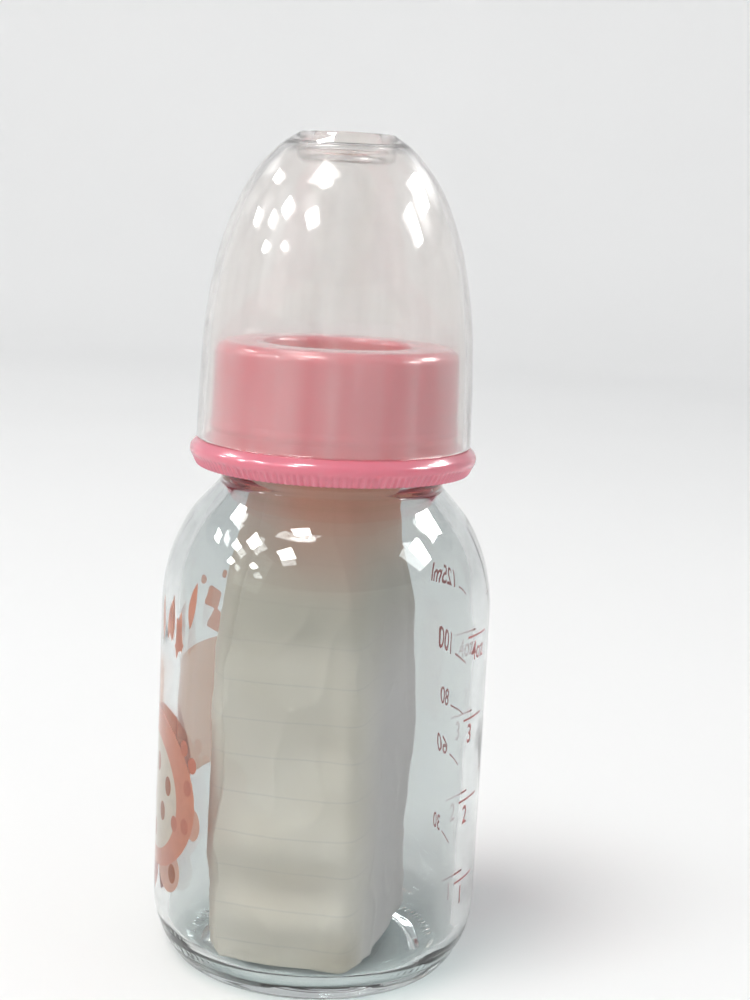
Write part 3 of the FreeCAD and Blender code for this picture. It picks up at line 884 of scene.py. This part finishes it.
def ruled_lines(tree, height):
    """A value that is above 0 on thin level lines."""
    spacing, first, width, dark = 6.45 * MM, 1.85 * MM, 0.2 * MM, 0.26
    share = node(tree, "ShaderNodeMath", {1: spacing}, operation="MODULO")
    off = node(tree, "ShaderNodeMath", {1: first}, operation="SUBTRACT")
    size = node(tree, "ShaderNodeMath", operation="ABSOLUTE")
    line = node(tree, "ShaderNodeMapRange",
                {"From Min": 0.0, "From Max": width, "To Min": dark, "To Max": 0.0})
    join(tree, (height, share.inputs[0]), (share.outputs[0], off.inputs[0]),
         (off.outputs[0], size.inputs[0]), (size.outputs[0], line.inputs["Value"]))
    return line.outputs[0]


def ink_material(name, colour, clear=0.3):
    """Screen-printed enamel, slightly uneven; the clear share of the light goes straight through."""
    mat, tree, shader = new_material(name)
    cloud = object_noise(tree, 700, 4)
    dark = tuple(0.88 * c for c in colour)
    tone = ramp(tree, cloud.outputs["Fac"], [(0.35, dark), (0.6, colour)])
    shader.inputs["Roughness"].default_value = 0.4
    bump(tree, shader, cloud.outputs["Fac"], 0.1, 0.02 * MM)
    film = node(tree, "ShaderNodeBsdfTransparent", {"Color": (*(c ** 0.5 for c in colour), 1)})
    glow = node(tree, "ShaderNodeBsdfTranslucent", {"Color": (*colour, 1)})
    dull = node(tree, "ShaderNodeMixShader", {"Fac": INK_GLOW})
    mix = node(tree, "ShaderNodeMixShader", {"Fac": clear})
    join(tree, (tone.outputs["Color"], shader.inputs["Base Color"]), (shader.outputs[0], dull.inputs[1]),
         (glow.outputs[0], dull.inputs[2]), (dull.outputs[0], mix.inputs[1]),
         (film.outputs[0], mix.inputs[2]), (mix.outputs[0], tree.nodes["Material Output"].inputs["Surface"]))
    return mat


# ---- stage ----------------------------------------------------------------------------------------
def make_camera():
    """The camera, in front and a little above the collar."""
    data = bpy.data.cameras.new("camera")
    data.lens = CAMERA_LENS
    data.sensor_width = CAMERA_SENSOR
    data.clip_start, data.clip_end = 0.01, 50
    camera = bpy.data.objects.new("camera", data)
    bpy.context.scene.collection.objects.link(camera)
    turn = (Matrix.Rotation(-math.radians(CAMERA_YAW), 4, "Z")
            @ Matrix.Rotation(math.radians(90 - CAMERA_PITCH), 4, "X")
            @ Matrix.Rotation(math.radians(CAMERA_ROLL), 4, "Z"))
    camera.matrix_world = Matrix.Translation(CAMERA_AT) @ turn
    bpy.context.scene.camera = camera


def lamp(name, place, aim, width, depth, power, colour=(1, 1, 1)):
    """A rectangular lamp at a place, facing another, that the camera doesn't see."""
    data = bpy.data.lights.new(name, "AREA")
    data.shape = "RECTANGLE"
    data.size, data.size_y = width, depth
    data.energy = power
    data.color = colour
    made = bpy.data.objects.new(name, data)
    made.location = place
    made.rotation_euler = (Vector(place) - Vector(aim)).to_track_quat("Z", "Y").to_euler()
    made.visible_camera = False
    bpy.context.scene.collection.objects.link(made)
    return made


def make_lights():
    """A pale surround, two soft boxes, and ceiling panels and windows that only show as glints."""
    world = bpy.data.worlds.new("studio")
    world.use_nodes = True
    background = world.node_tree.nodes["Background"]
    background.inputs["Color"].default_value = (0.96, 0.98, 1.0, 1)
    background.inputs["Strength"].default_value = WORLD_LIGHT
    bpy.context.scene.world = world
    boxes = (("key_box", (-0.5, -0.42, 1.6), KEY_POWER), ("fill_box", (-1.1, -0.5, 0.6), FILL_POWER))
    for name, place, power in boxes:
        soft = lamp(name, place, (0, 0, 0.07), 0.6, 0.6, power, (1, 0.985, 0.96))
        soft.visible_glossy = False
    for i, (x, y, width, depth) in enumerate(GLINTS):
        glint = lamp(f"glint_{i}", (x, y, GLINT_Z), (x, y, 0), width, depth, GLINT_LIGHT * width * depth)
        glint.visible_diffuse = False


def make_floor():
    """A wide pale floor that curves up into a low surround."""
    outer = FLOOR_R + FLOOR_T
    line = rounded([(0, 0), (FLOOR_R, 0, FLOOR_BEND), (FLOOR_R, SURROUND_TOP)], math.radians(3))
    back = [Vector((outer, SURROUND_TOP)), Vector((outer, -FLOOR_T)), Vector((0, -FLOOR_T))]
    floor = turned("floor", line + back, 96)
    mat, tree, shader = new_material("floor")
    cloud = object_noise(tree, 3)
    tone = ramp(tree, cloud.outputs["Fac"], [(0.3, (0.86, 0.86, 0.86)), (0.7, (0.88, 0.88, 0.88))])
    join(tree, (tone.outputs["Color"], shader.inputs["Base Color"]))
    shader.inputs["Roughness"].default_value = 0.7
    shader.inputs["Specular IOR Level"].default_value = 0.1
    floor.data.materials.append(mat)


make_camera()
make_lights()
make_floor()
bpy.context.scene.view_settings.view_transform = "Standard"
make_glass()
make_collar()
make_hood()
make_teat()
make_paper()
make_scales()
make_decor()
